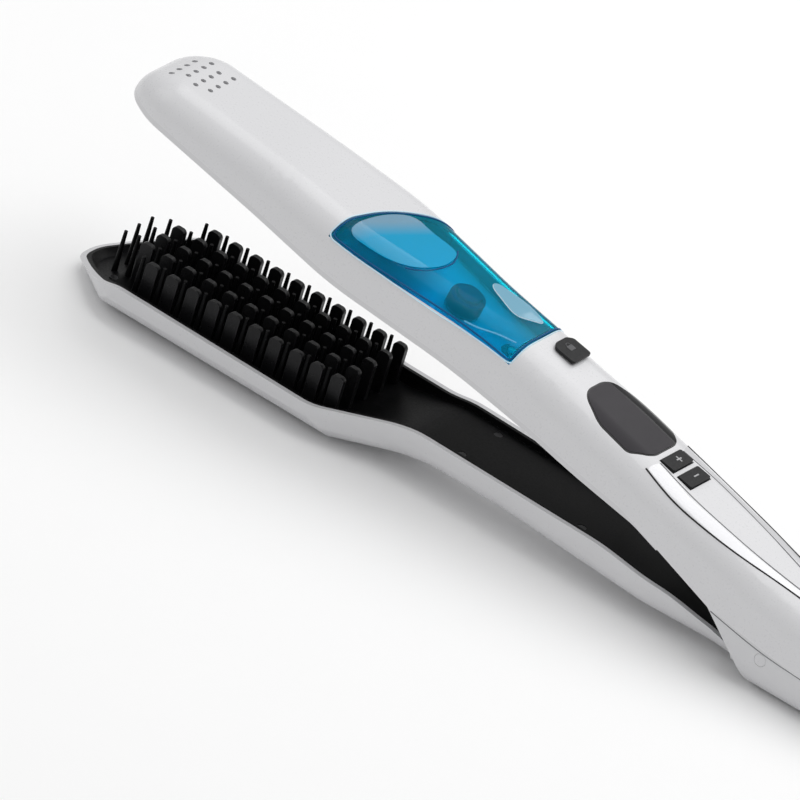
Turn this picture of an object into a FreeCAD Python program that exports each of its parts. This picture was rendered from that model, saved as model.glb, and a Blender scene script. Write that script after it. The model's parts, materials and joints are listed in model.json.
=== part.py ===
import FreeCAD, Part
import math
import os
import Sketcher

# Steam hair straightener brush, millimetres.
# Both arms are drawn from the jaw's pivot axis, which is the origin of their own frames:
# u runs along the arm (negative towards the tips), v across it and w away from the other arm.
# The lower arm lies level; the upper arm and the handle lean by the opening angle.

doc = FreeCAD.newDocument("SteamStraightenerBrush")

# ---------------------------------------------------------------- driving dimensions
DIMENSIONS = (
    # the whole brush
    ("openAngle", 10.6),        # jaw opening at rest, degrees
    ("pivotHeight", 12.0),      # jaw pivot above the table
    ("pivotForward", 90.45),     # jaw pivot in front of the middle of the brush
    ("slipGap", 0.15),          # clearance of a piece that drops into another
    ("runGap", 0.3),            # clearance of a piece that moves past another
    ("pinGap", 0.05),           # radial clearance on the hinge pin
    # lower arm
    ("lowerReach", 258.0),      # pivot to the lower tip
    ("paddleHalf", 24.0),       # half width of the comb head
    ("neckHalf", 16.0),         # half width of the lower arm's neck
    ("paddleRim", 1.2),         # rim of the comb head above the pivot
    ("neckRim", 6.5),           # rim of the neck above the pivot
    ("neckBelly", -5.0),        # underside of the neck
    ("casingWall", 1.7),
    ("casingRound", 10.5),      # rounding of the casing's lower edge
    ("panelSheet", 1.4),        # thickness of the comb panel
    ("panelLip", 1.2),          # upright lip round the comb panel
    ("combFloor", -3.4),        # floor of the comb panel in the head
    ("neckFloor", 4.6),         # floor of the comb panel in the neck
    # comb
    ("combStart", 232.0),       # pivot to the first row of fins
    ("combPitch", 7.6),
    ("combRows", 11),
    ("combLane", 8.1),          # spacing of the lanes across the head
    ("finHeight", 13.4),
    ("finLength", 4.3),
    ("finThick", 1.7),
    ("pinHeight", 14.0),        # guard pin above the panel
    ("pinFoot", 0.95),          # guard pin radius at the foot
    ("pinTip", 0.55),           # guard pin radius at the tip
    ("heatPlate", 1.5),         # plate that carries the fins
    # upper arm and handle
    ("upperReach", 257.0),      # pivot to the nose
    ("upperHalf", 22.0),        # half width over the comb head
    ("gripHalf", 16.2),         # half width of the grip
    ("endHalf", 13.5),          # half width at the handle's end
    ("handleLength", 62.0),     # pivot to the end of the shells
    ("jawPlane", 8.0),          # underside of the upper arm above the pivot
    ("underFrame", 1.8),        # thickness of the light frame under the upper arm
    ("shellWall", 2.0),
    ("shoulder", 10.0),         # rounding between the top and the sides
    ("handleRound", 9.0),       # rounding of the handle's lower edges
    ("crestNose", 12.0),        # height of the top line, nose to handle end
    ("crestTip", 20.2),
    ("crestFront", 24.0),
    ("crestLock", 27.2),
    ("crestScreen", 25.2),
    ("crestHinge", 20.2),
    ("crestEnd", 19.2),
    ("skin", 1.3),              # thickness of pieces let into the top
    # water tank
    ("tankFront", 176.0),       # pivot to the tank's front corner
    ("tankRear", 112.0),
    ("tankFloor", 15.6),
    ("tankWall", 1.6),
    ("tankEdge", 1.5),          # tank outline inside the arm's side
    ("plugRadius", 5.6),
    # controls
    ("boardLevel", 14.8),       # upper face of the control board
    ("buttonLength", 5.2),
    ("buttonWidth", 10.4),
    ("buttonPitch", 7.1),
    ("buttonProud", 0.7),
    # hinge
    ("pinRadius", 2.0),
    ("knuckleRadius", 6.4),
    ("knuckleHalf", 11.6),
    ("cheekHalf", 13.0),
    ("springSlot", 4.4),        # half width of the gap that holds the spring
    # rear end
    ("capThick", 2.6),
    ("glandBore", 3.1),
    ("glandReach", 8.0),
)

sheet = doc.addObject("Spreadsheet::Sheet", "Sizes")
for row, (name, number) in enumerate(DIMENSIONS, start=1):
    sheet.set(f"A{row}", name)
    sheet.set(f"B{row}", str(number))
    sheet.setAlias(f"B{row}", name)
doc.recompute()


class Size:
    """A length with the sheet formula that it comes from."""

    def __init__(self, value, formula):
        self.value = float(value)
        self.formula = formula

    def __add__(self, other):
        other = as_size(other)
        return Size(self.value + other.value, f"({self.formula} + {other.formula})")

    def __sub__(self, other):
        other = as_size(other)
        return Size(self.value - other.value, f"({self.formula} - {other.formula})")

    def __mul__(self, other):
        other = as_size(other)
        return Size(self.value * other.value, f"({self.formula} * {other.formula})")

    def __truediv__(self, other):
        other = as_size(other)
        return Size(self.value / other.value, f"({self.formula} / {other.formula})")

    def __neg__(self):
        return Size(-self.value, f"(0 - {self.formula})")

    def __radd__(self, other):
        return as_size(other) + self

    def __rsub__(self, other):
        return as_size(other) - self

    def __rmul__(self, other):
        return as_size(other) * self


def as_size(number):
    if isinstance(number, Size):
        return number
    return Size(number, f"({number})")


def size(name):
    return Size(sheet.get(name), f"Sizes.{name}")


def bind(thing, prop, length):
    length = as_size(length)
    setattr(thing, prop, length.value)
    if "Sizes" in length.formula:
        thing.setExpression(prop, length.formula)


# ---------------------------------------------------------------- drawing and solids
PLANES = {
    "XY": FreeCAD.Rotation(),
    "XZ": FreeCAD.Rotation(FreeCAD.Vector(1, 0, 0), 90),
    "YZ": FreeCAD.Rotation(FreeCAD.Vector(1, 1, 1), 120),
}
# a sketch on XZ faces -Y, so its level along that direction counts backwards
FACING = {"XY": ("z", 1), "XZ": ("y", -1), "YZ": ("x", 1)}


def pin_point(sketch, found, geometry, position, x, y):
    """Hold one point of the sketch at x, y."""
    for kind, length in (("DistanceX", x), ("DistanceY", y)):
        held = Sketcher.Constraint(kind, -1, 1, geometry, position, length.value)
        found.append((held, length.formula))


def outline(sketch, corners):
    """A closed outline; a corner given with a radius is rounded by a tangent arc."""
    spots = [[as_size(number) for number in corner] for corner in corners]
    count = len(spots)
    flat = [FreeCAD.Vector(spot[0].value, spot[1].value, 0) for spot in spots]
    enter, leave, arcs = list(flat), list(flat), [None] * count
    for i, spot in enumerate(spots):
        if len(spot) < 3:
            continue
        back = (flat[i - 1] - flat[i]).normalize()
        ahead = (flat[(i + 1) % count] - flat[i]).normalize()
        half = back.getAngle(ahead) / 2
        radius = spot[2].value
        enter[i] = flat[i] + back * (radius / math.tan(half))
        leave[i] = flat[i] + ahead * (radius / math.tan(half))
        centre = flat[i] + (back + ahead).normalize() * (radius / math.sin(half))
        left_turn = back.cross(ahead).z < 0
        first, last = (enter[i], leave[i]) if left_turn else (leave[i], enter[i])
        angles = [math.atan2(end.y - centre.y, end.x - centre.x) for end in (first, last)]
        if angles[1] < angles[0]:
            angles[1] += 2 * math.pi
        circle = Part.Circle(centre, FreeCAD.Vector(0, 0, 1), radius)
        arcs[i] = (Part.ArcOfCircle(circle, *angles), (1, 2) if left_turn else (2, 1))
    base = len(sketch.Geometry)
    lines = [
        sketch.addGeometry(Part.LineSegment(leave[i], enter[(i + 1) % count])) for i in range(count)
    ]
    found = []
    for i, spot in enumerate(spots):
        before, after = lines[i - 1], lines[i]
        if arcs[i] is None:
            found.append((Sketcher.Constraint("Coincident", before, 2, after, 1), ""))
            pin_point(sketch, found, after, 1, spot[0], spot[1])
            continue
        arc, (start, end) = arcs[i]
        curve = sketch.addGeometry(arc)
        corner = sketch.addGeometry(Part.Point(flat[i]), True)
        found.append((Sketcher.Constraint("Tangent", before, 2, curve, start), ""))
        found.append((Sketcher.Constraint("Tangent", after, 1, curve, end), ""))
        found.append((Sketcher.Constraint("Radius", curve, spot[2].value), spot[2].formula))
        found.append((Sketcher.Constraint("PointOnObject", corner, 1, before), ""))
        found.append((Sketcher.Constraint("PointOnObject", corner, 1, after), ""))
        pin_point(sketch, found, corner, 1, spot[0], spot[1])
    hold(sketch, found)
    return base


def ring(sketch, x, y, radius):
    """A circle held by its centre and radius."""
    x, y, radius = as_size(x), as_size(y), as_size(radius)
    centre = FreeCAD.Vector(x.value, y.value, 0)
    circle = sketch.addGeometry(Part.Circle(centre, FreeCAD.Vector(0, 0, 1), radius.value))
    found = [(Sketcher.Constraint("Radius", circle, radius.value), radius.formula)]
    pin_point(sketch, found, circle, 3, x, y)
    hold(sketch, found)


def hold(sketch, found):
    """Add the constraints and bind the ones that follow the sheet."""
    numbers = sketch.addConstraint([constraint for constraint, formula in found])
    for number, (constraint, formula) in zip(numbers, found):
        if "Sizes" in formula:
            sketch.setExpression(f"Constraints[{number}]", formula)


def draw(sketch, shapes):
    """Each shape is a list of corners, or a tuple (x, y, radius) for a circle."""
    for shape in shapes:
        if isinstance(shape, tuple):
            ring(sketch, *shape)
        else:
            outline(sketch, shape)


def loose_sketch(name, plane, level, shapes):
    """A sketch outside a body, at a level along its plane's axis."""
    sketch = doc.addObject("Sketcher::SketchObject", name)
    axis, sign = FACING[plane]
    level = as_size(level)
    base = FreeCAD.Vector()
    setattr(base, axis, level.value)
    sketch.Placement = FreeCAD.Placement(base, PLANES[plane])
    if "Sizes" in level.formula:
        sketch.setExpression(f".Placement.Base.{axis}", level.formula)
    draw(sketch, shapes)
    return sketch


def block(name, plane, shapes, low, high):
    """A straight solid between two levels along its plane's axis."""
    low, high = as_size(low), as_size(high)
    start = high if plane == "XZ" else low
    solid = doc.addObject("Part::Extrusion", name)
    solid.Base = loose_sketch(name + "_outline", plane, start, shapes)
    solid.DirMode = "Normal"
    solid.Solid = True
    bind(solid, "LengthFwd", high - low)
    return solid


def cut(name, base, tools):
    """The base less every tool."""
    result = base
    for number, tool in enumerate(tools):
        step = doc.addObject("Part::Cut", f"{name}_cut{number}")
        step.Base, step.Tool = result, tool
        result = step
    return result


def common(name, pieces):
    result = doc.addObject("Part::MultiCommon", name)
    result.Shapes = pieces
    return result


def fuse(name, pieces):
    result = doc.addObject("Part::MultiFuse", name)
    result.Shapes = pieces
    return result


def round_edges(name, base, radius, wanted):
    """Round the sharp edges of the base whose middle the wanted test accepts."""
    doc.recompute()
    rounded = doc.addObject("Part::Fillet", name)
    rounded.Base = base
    radius = as_size(radius).value
    rounded.Edges = [(number, radius, radius) for number in sharp_edges(base.Shape, wanted)]
    return rounded


def sharp_edges(shape, wanted):
    numbers = []
    for number, edge in enumerate(shape.Edges, start=1):
        faces = shape.ancestorsOfType(edge, Part.Face)
        if len(faces) != 2:
            continue
        middle = edge.valueAt((edge.FirstParameter + edge.LastParameter) / 2)
        normals = [face.normalAt(*face.Surface.parameter(middle)) for face in faces]
        if normals[0].getAngle(normals[1]) > math.radians(20) and wanted(middle):
            numbers.append(number)
    return numbers


# ---------------------------------------------------------------- part design bodies
def new_body(label):
    body = doc.addObject("PartDesign::Body", label + "_body")
    return body


def origin_item(body, role):
    return next(item for item in body.Origin.OriginFeatures if item.Role == role)


def body_sketch(body, plane, level, shapes):
    """A sketch on the body's own origin plane, moved to a level along its axis."""
    sketch = body.newObject("Sketcher::SketchObject", f"{body.Name}_sketch")
    sketch.AttachmentSupport = [(origin_item(body, plane + "_Plane"), "")]
    sketch.MapMode = "FlatFace"
    level = as_size(level) * FACING[plane][1]
    sketch.AttachmentOffset = FreeCAD.Placement(FreeCAD.Vector(0, 0, level.value), FreeCAD.Rotation())
    if "Sizes" in level.formula:
        sketch.setExpression(".AttachmentOffset.Base.z", level.formula)
    draw(sketch, shapes)
    return sketch


def pad(body, plane, shapes, low, high):
    low, high = as_size(low), as_size(high)
    feature = body.newObject("PartDesign::Pad", f"{body.Name}_pad")
    feature.Profile = body_sketch(body, plane, high if plane == "XZ" else low, shapes)
    bind(feature, "Length", high - low)
    return feature


def pocket(body, plane, shapes, low, high):
    """Cut between two levels; a pocket runs against its sketch's facing."""
    low, high = as_size(low), as_size(high)
    doc.recompute()
    before = body.Shape.Volume
    feature = body.newObject("PartDesign::Pocket", f"{body.Name}_pocket")
    feature.Profile = body_sketch(body, plane, low if plane == "XZ" else high, shapes)
    bind(feature, "Length", high - low)
    doc.recompute()
    if body.Shape.Volume >= before:
        raise RuntimeError(f"{feature.Name} removes nothing")
    return feature


def revolve(body, corners, axis):
    """Turn an XZ outline once round the sketch's own H_Axis or V_Axis."""
    feature = body.newObject("PartDesign::Revolution", f"{body.Name}_turn")
    feature.Profile = body_sketch(body, "XZ", 0, [corners])
    feature.ReferenceAxis = (feature.Profile, [axis])
    feature.Angle = 360
    return feature


def pattern(body, features, runs):
    """Repeat features along the body's axes: runs of (axis role, length, count)."""
    doc.recompute()
    steps = body.newObject("PartDesign::MultiTransform", f"{body.Name}_pattern")
    steps.Originals = features
    rows = []
    for role, length, count in runs:
        row = body.newObject("PartDesign::LinearPattern", f"{body.Name}_row")
        row.Direction = (origin_item(body, role), [""])
        bind(row, "Length", length)
        row.Occurrences = count
        rows.append(row)
    steps.Transformations = rows
    body.Tip = steps
    return steps


def mirrored(half):
    """The half outline on the +v side and its mirror image."""
    other = [(corner[0], -as_size(corner[1])) + tuple(corner[2:]) for corner in reversed(half)]
    return list(half) + other


def box_corners(x0, x1, y0, y1, radius=None):
    corners = [(x0, y0), (x1, y0), (x1, y1), (x0, y1)]
    if radius is None:
        return corners
    return [corner + (radius,) for corner in corners]


# ---------------------------------------------------------------- nodes and their frames
nodes = []


def place(thing, label, leaning):
    """Name a finished piece and put it into the common frame."""
    thing.Label = label
    angle = size("openAngle").value if leaning else 0.0
    base = FreeCAD.Vector(size("pivotForward").value, 0, size("pivotHeight").value)
    thing.Placement = FreeCAD.Placement(base, FreeCAD.Rotation(FreeCAD.Vector(0, 1, 0), angle))
    thing.setExpression(".Placement.Base.x", "Sizes.pivotForward")
    thing.setExpression(".Placement.Base.z", "Sizes.pivotHeight")
    if leaning:
        thing.setExpression(".Placement.Rotation.Angle", "Sizes.openAngle")
    nodes.append(thing)


def lower_node(thing, label):
    place(thing, label, leaning=False)


def upper_node(thing, label):
    place(thing, label, leaning=True)


BIG = 60      # half size of cutting blocks, wider than the brush

# ---------------------------------------------------------------- lower arm forms
reach = size("lowerReach")
tip_rim, tip_keel = -10.6, -11.0
head_start, head_end, neck_start = 231, 158, 127
belly_start, belly_end = 196, 160
tail = -6


def lower_plan(inset):
    """Plan of the lower arm: beak-like tip, wide comb head, slim neck and tail."""
    half = [
        (-reach + inset, 6 - inset * 0.49, 11 - inset),
        (-reach + 23 + inset * 0.34, size("paddleHalf") - 0.2 - inset, 13 - inset),
        (-160, size("paddleHalf") - inset, 22 - inset),
        (-134, size("neckHalf") - inset, 24 + inset),
        (-44, size("neckHalf") - 0.6 - inset, 40 - inset),
        (-20, size("knuckleHalf") - inset, 12),
        (tail - inset, size("knuckleHalf") - inset),
    ]
    return mirrored(half)


def lower_rim(lift):
    """Rim line from the tip to the tail, as corners of a side view."""
    return [
        (-reach - 4, tip_rim + lift),
        (-head_start, size("paddleRim") + lift, 12),
        (-head_end, size("paddleRim") - 0.6 + lift, 34),
        (-neck_start, size("neckRim") + lift, 34),
        (-60, size("neckRim") - 0.9 + lift, 70),
        (-34, 2.0 + lift, 60),
        (tail, -6.2 + lift),
    ]


def lower_keel(lift):
    """Underside line from the tail to the tip, as corners of a side view."""
    return [
        (tail, -10.6 + lift),
        (-96, size("neckBelly") + lift, 80),
        (-122, size("neckBelly") + lift, 50),
        (-belly_end, -size("pivotHeight") + lift, 40),
        (-belly_start, -size("pivotHeight") + lift, 90),
        (-reach - 4, tip_keel + lift),
    ]


def lower_section(inset):
    """Section across the comb head: upright sides, sloping flanks and a flat bottom."""
    half = [
        (size("paddleHalf") + 0.6 - inset, BIG),
        (size("paddleHalf") + 0.6 - inset, -2.5 + inset * 0.4, 5),
        (size("paddleHalf") - 8.5 - inset * 0.43, -size("pivotHeight") + inset, 18),
    ]
    other = [(-as_size(corner[0]),) + tuple(corner[1:]) for corner in reversed(half)]
    return half + other


def hull_form(name, inset):
    """Boat form of the lower arm, open upwards, smaller on every side by the inset."""
    side = [(-reach - 4, BIG), (tail, BIG)] + lower_keel(inset)
    plan = block(name + "_plan", "XY", [lower_plan(inset)], -BIG, BIG)
    profile = block(name + "_side", "XZ", [side], -BIG, BIG)
    form = common(name + "_form", [plan, profile])

    def keel_edge(middle):
        return middle.z < -1.0 and middle.x < -14
    rounded = round_edges(name, form, size("casingRound") - inset, keel_edge)
    section = block(name + "_section", "YZ", [lower_section(inset)], -reach - 5, 0)
    return common(name + "_hull", [rounded, section])


def below(name, line):
    """Everything under a line of a side view."""
    return block(name, "XZ", [line + [(line[-1][0], -BIG), (line[0][0], -BIG)]], -BIG, BIG)


def above(name, line):
    """Everything over a line of a side view."""
    return block(name, "XZ", [line + [(line[-1][0], BIG), (line[0][0], BIG)]], -BIG, BIG)


hull = hull_form("hull", 0)
hull_hollow = hull_form("hull_hollow", size("casingWall"))
under_rim = below("under_rim", lower_rim(0))

# ---------------------------------------------------------------- lower casing
knuckle = size("knuckleRadius")
bush_radius = size("pinRadius") + 1.2
lug_side = [
    (-12, -8.6),
    (-12, -5.9),
    (-3, knuckle, 3),
    (knuckle, knuckle, knuckle - 0.1),
    (knuckle, -knuckle, knuckle - 0.1),
    (-3, -knuckle, 2),
]
casing_outside = common("casing_outside", [hull, under_rim])
casing_tray = cut("casing_tray", casing_outside, [hull_hollow])
lug_blocks = [
    block(f"lug_{side}", "XZ", [lug_side], low, high)
    for side, low, high in (
        ("left", size("springSlot"), size("knuckleHalf")),
        ("right", -size("knuckleHalf"), -size("springSlot")),
    )
]
tail_bowl = block("tail_bowl", "YZ", [[
    (size("knuckleHalf"), BIG),
    (size("knuckleHalf"), -12.2, size("knuckleHalf") - 1.2),
    (-size("knuckleHalf"), -12.2, size("knuckleHalf") - 1.2),
    (-size("knuckleHalf"), BIG),
]], -14, 8)
lugs = [common(f"lug_form{number}", [lug, tail_bowl]) for number, lug in enumerate(lug_blocks)]
bush_bore = block("bush_bore", "XZ", [(0, 0, bush_radius)], -BIG, BIG)


def panel_floor(lift):
    """Floor line of the comb panel: ramp at the tip, level under the comb, raised in the neck."""
    return [
        (-reach - 4, size("combFloor") - 9.5 + lift),
        (-head_start - 6, size("combFloor") + lift, 6),
        (-head_end + 5, size("combFloor") + lift, 30),
        (-neck_start - 3, size("neckFloor") + lift, 30),
        (-62, size("neckFloor") - 0.6 + lift, 70),
        (-34, 0.9 + lift, 60),
        (-12 - size("slipGap"), -5.6 + lift),
    ]


panel_screw_spots = [(u, v * side) for u, v in ((-237.9, 12.2), (-114, 9.5), (-70, 9.5)) for side in (1, -1)]


def screw_end(u):
    """Level of the lower end of a panel screw's bore."""
    return -8.6 if u < -head_end else -2.4


panel_bosses = common("panel_bosses", [
    hull,
    block("panel_rods", "XY", [(u, v, 1.6) for u, v in panel_screw_spots], -BIG, BIG),
    below("panel_boss_top", panel_floor(-size("panelSheet")))])
panel_bores = [
    block(f"panel_bore{number}", "XY", [(u, v, 0.85)], screw_end(u), BIG)
    for number, (u, v) in enumerate(panel_screw_spots)
]


def panel_screw_seat(u):
    """Level under the sunk head of a panel screw."""
    if u < -head_end:
        return size("combFloor") - 0.9
    return size("neckFloor") - (u + 130) * 0.6 / 68 - 0.9


head_sinks = [
    block(f"head_sink{number}", "XY", [(u, v, 1.4)], panel_screw_seat(u), 20)
    for number, (u, v) in enumerate(panel_screw_spots)
]
casing_parts = fuse("casing_parts", [casing_tray, panel_bosses] + lugs)
lower_node(cut("casing", casing_parts, [bush_bore] + panel_bores), "lower_casing")

# ---------------------------------------------------------------- comb panel
first_row = -size("combStart")
pitch, lane = size("combPitch"), size("combLane")
rows = int(sheet.get("combRows"))


panel_blank = common(
    "panel_blank",
    [hull_hollow, under_rim, above("panel_under", panel_floor(-size("panelSheet")))],
)
dish = common(
    "dish",
    [hull_form("hull_dish", size("casingWall") + size("panelLip")), above("panel_over", panel_floor(0))],
)
comb_panel = new_body("comb_panel")
comb_panel.BaseFeature = cut("panel_tray", panel_blank, [dish] + panel_bores + head_sinks)


def comb_pattern(body, feature_at):
    """Fins or pins on every lane; the outer lanes start one row later."""
    pattern(body, [feature_at(first_row, -lane)], [
        ("X_Axis", pitch * (rows - 1), rows),
        ("Y_Axis", lane * 2, 3),
    ])
    pattern(body, [feature_at(first_row + pitch, -lane * 2)], [
        ("X_Axis", pitch * (rows - 2), rows - 1),
        ("Y_Axis", lane * 4, 2),
    ])


def fin_slot(x, y):
    long = size("finLength") / 2 + size("slipGap")
    thick = size("finThick") / 2 + size("slipGap")
    top = size("combFloor") + 2
    return pocket(comb_panel, "XY", [box_corners(x - long, x + long, y - thick, y + thick)],
                  top - 6, top)


def guard_pin(x, y, drop=0.0):
    """One tapered pin, half a pitch ahead of its fin, rooted in the panel."""
    pin = comb_panel.newObject("PartDesign::AdditiveCone", "guard_pin")
    bind(pin, "Radius1", size("pinFoot"))
    bind(pin, "Radius2", size("pinTip"))
    bind(pin, "Height", size("pinHeight") + 0.5)
    spot = {"x": as_size(x) - pitch / 2, "y": as_size(y), "z": size("combFloor") - 0.5 - drop}
    pin.Placement = FreeCAD.Placement(
        FreeCAD.Vector(*(length.value for length in spot.values())), FreeCAD.Rotation())
    for axis, length in spot.items():
        pin.setExpression(f".Placement.Base.{axis}", length.formula)
    return pin


comb_pattern(comb_panel, fin_slot)
comb_pattern(comb_panel, guard_pin)
pattern(comb_panel, [guard_pin(first_row - pitch * 0.7, -lane * 0.85, drop=1.7)], [("Y_Axis", lane * 1.7, 3)])
lower_node(comb_panel, "comb_panel")

screws = []
for number, (u, v) in enumerate(panel_screw_spots):
    seat = panel_screw_seat(u)
    screw = new_body(f"panel_screw{number}")
    pad(screw, "XY", [(u, v, 0.8)], screw_end(u) + 0.3, seat)
    pad(screw, "XY", [(u, v, 1.3)], seat, seat + 0.8)
    screws.append(screw)
panel_screws = doc.addObject("Part::Compound", "panel_screws")
panel_screws.Links = screws
lower_node(panel_screws, "panel_screws")

# ---------------------------------------------------------------- comb fins and their heater
plate_top = size("combFloor") - size("panelSheet")
plate_low = plate_top - size("heatPlate")
last_row = first_row + pitch * (rows - 1)
comb_fins = new_body("comb_fins")
pad(comb_fins, "XY", [box_corners(first_row - 4, last_row + 4, -lane * 2 - 1.3, lane * 2 + 1.3, 5)],
    plate_low, plate_top)


def fin(x, y):
    long = size("finLength") / 2
    thick = size("finThick") / 2
    top = size("combFloor") + size("finHeight")
    side = [(x - long, plate_top - 0.5), (x + long, plate_top - 0.5), (x + long, top, 1.5), (x - long, top, 1.5)]
    return pad(comb_fins, "XZ", [side], y - thick, y + thick)


comb_pattern(comb_fins, fin)
lower_node(comb_fins, "comb_fins")

heater_start, heater_end = -214, -157
heater_low = plate_low - 2.0
lower_node(block("lower_heater", "XY", [box_corners(heater_start, heater_end, -8, 8, 1)], heater_low, plate_low),
           "comb_heater")
lower_node(block("mica", "XY", [box_corners(heater_start + 4, heater_end - 1, -11, 11, 2)],
                 heater_low - 0.6, heater_low), "heater_insulator")

# ---------------------------------------------------------------- upper arm forms
nose = size("upperReach")
rear = size("handleLength") + size("capThick")
lean = Size(math.tan(math.radians(size("openAngle").value)), "tan(Sizes.openAngle * 1deg)")
upright = Size(math.cos(math.radians(size("openAngle").value)), "cos(Sizes.openAngle * 1deg)")
frame_top = size("jawPlane") + size("underFrame")


def upper_plan(inset):
    """Plan of the upper arm and handle: round nose, wide front, slim grip."""
    half = [
        (-nose + inset, 13 - inset * 0.6, 12 - inset),
        (-nose + 12 + inset * 0.4, size("upperHalf") - 3.3 - inset, 20 - inset),
        (-200, size("upperHalf") - 1.8 - inset, 300),
        (-170, size("upperHalf") + 0.2 - inset, 80 - inset),
        (-127, size("gripHalf") - 0.6 - inset, 150 + inset),
        (-98, size("gripHalf") - 1.1 - inset, 200),
        (-78, size("gripHalf") - inset, 200),
        (12, size("gripHalf") - 1.15 - inset, 120),
        (rear, size("endHalf") - inset),
    ]
    return mirrored(half)


screen_at, hinge_at = -75, -8      # corners of the top line over the screen and the hinge


def crest_line(inset):
    """Top line from the nose to the handle's end, as corners of a side view."""
    return [
        (-nose - 3, size("crestNose") - inset),
        (-nose + 11, size("crestTip") - inset, 14 - inset),
        (-200, size("crestFront") - inset, 300),
        (-118, size("crestLock") - inset, 260),
        (screen_at, size("crestScreen") - inset, 300),
        (hinge_at, size("crestHinge") - inset, 300),
        (rear + 1, size("crestEnd") - inset),
    ]


def upper_form(name, inset):
    """Solid form of the upper arm and handle down to far below the jaw."""
    side = crest_line(inset) + [(rear + 1, -BIG / 2), (-nose - 3, -BIG / 2)]
    form = common(name + "_form", [
        block(name + "_plan", "XY", [upper_plan(inset)], -BIG / 2, BIG),
        block(name + "_side", "XZ", [side], -BIG / 2, BIG / 2)])

    def top_edge(middle):
        return middle.z > 4 and middle.x < rear.value - 0.5
    return round_edges(name, form, size("shoulder") - inset, top_edge)


upper = upper_form("upper", as_size(0))
upper_hollow = upper_form("upper_hollow", size("shellWall"))
upper_skin = upper_form("upper_skin", size("skin"))

seam_front = (-22, 2.6)
seam_line = [(-59, 1.2), (15, 4.0, 60), (size("handleLength"), 7.8)]
frame_foot = [(-nose - 3, frame_top), (-60, frame_top, 25), seam_front]
shell_foot = frame_foot + seam_line[1:]

# ---------------------------------------------------------------- water tank and its bay


def tank_cell(name, inset, low):
    """Straight cell under the tank's outline: arm plan between a curved front and the rear."""
    front = -size("tankFront") + inset
    back = -size("tankRear") - inset
    ends = [
        (front - 2, -BIG / 2),
        (front - 0.6, -14, 40),
        (front + 4, 4, 40),
        (front + 17, 17, 30),
        (front + 26, BIG / 2),
        (back, BIG / 2),
        (back, -BIG / 2),
    ]
    return common(name, [
        block(name + "_sides", "XY", [upper_plan(size("tankEdge") + inset)], low, BIG),
        block(name + "_ends", "XY", [ends], low, BIG),
    ])


tank_outside = common("tank_outside", [upper, tank_cell("tank_cell", as_size(0), size("tankFloor"))])
tank_inside = common("tank_inside", [
    upper_skin, tank_cell("tank_void", size("tankWall"), size("tankFloor") + size("tankWall"))])
plug_at = (-138, 0)
filler_hole = block("filler_hole", "XY", [(*plug_at, size("plugRadius"))],
                    size("tankFloor") - 1, size("tankFloor") + size("tankWall") + 1)
outlet_at = (-118, 0)
outlet_hole = block("outlet_hole", "XY", [(*outlet_at, 1.6)],
                    size("tankFloor") - 1, size("tankFloor") + size("tankWall") + 1)
upper_node(cut("tank", tank_outside, [tank_inside, filler_hole, outlet_hole]), "water_tank")

plug = new_body("tank_plug")
pad(plug, "XY", [(*plug_at, size("plugRadius") - size("pinGap"))],
    size("tankFloor") + 0.1, size("tankFloor") + 5.4)
pad(plug, "XY", [(*plug_at, size("plugRadius") - 1.6)],
    size("tankFloor") + 5.4, size("tankFloor") + 6.6)
upper_node(plug, "tank_plug")

bay = tank_cell("bay", -size("runGap"), size("tankFloor") - size("slipGap"))

# ---------------------------------------------------------------- pieces let into the top
screen_outline = [
    (-90.6, 6.5, 7), (-80, 11.3, 14), (-67.5, 11.6, 4), (-61.8, 6.5, 6),
]
screen_outline = mirrored(screen_outline)


def inlay(name, shapes):
    """A thin piece of the top's own surface within the given outline, and its pocket."""
    pocket_form = cut(name + "_pocket", block(name + "_prism", "XY", shapes, 6, BIG), [upper_skin])
    return common(name, [upper, pocket_form]), pocket_form


screen_lens, screen_pocket = inlay("screen_lens", [screen_outline])
upper_node(screen_lens, "display_lens")

trim_half = [
    (-60.4, 10.5, 1.0), (-46, 12.0, 30), (-28, 11.0, 40), (8, 5.0), (8, 2.6), (-22, 6.6, 40),
    (-46, 7.8, 20), (-59.4, 6.4, 1.0),
]
trim_pockets = []
for name, turn in (("left_trim", 1), ("right_trim", -1)):
    corners = [(corner[0], corner[1] * turn) + corner[2:] for corner in trim_half]
    trim, trim_pocket = inlay(name, [corners])
    trim_pockets.append(trim_pocket)
    upper_node(trim, name)

# ---------------------------------------------------------------- upper shell
lock_at = (-103.9, 3.6)
lock_travel = 2.5
plus_at, minus_at = -57.3, -57.3 + size("buttonPitch")
screen_window = block("screen_window", "XY", [screen_outline], 6, BIG)
button_windows = [
    block(f"button_window{number}", "XY", [box_corners(
        u - size("buttonLength") / 2 - size("runGap"), u + size("buttonLength") / 2 + size("runGap"),
        -size("buttonWidth") / 2 - size("runGap"), size("buttonWidth") / 2 + size("runGap"))], 12, BIG)
    for number, u in enumerate((as_size(plus_at), minus_at))
]
lock_slot = block("lock_slot", "XY", [box_corners(
    lock_at[0] - 1.5 - size("runGap"), lock_at[0] + 1.5 + lock_travel + size("runGap"),
    lock_at[1] - 1.5 - size("runGap"), lock_at[1] + 1.5 + size("runGap"))], 12, BIG)
vent_circles = []
for column in range(4):
    for rank in range(4):
        vent_circles.append((-249.4 + 4.15 * column, -7 + 4 * rank + 2 * (column % 2), 0.85))
vents = block("vents", "XY", vent_circles, 12, BIG)

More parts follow.
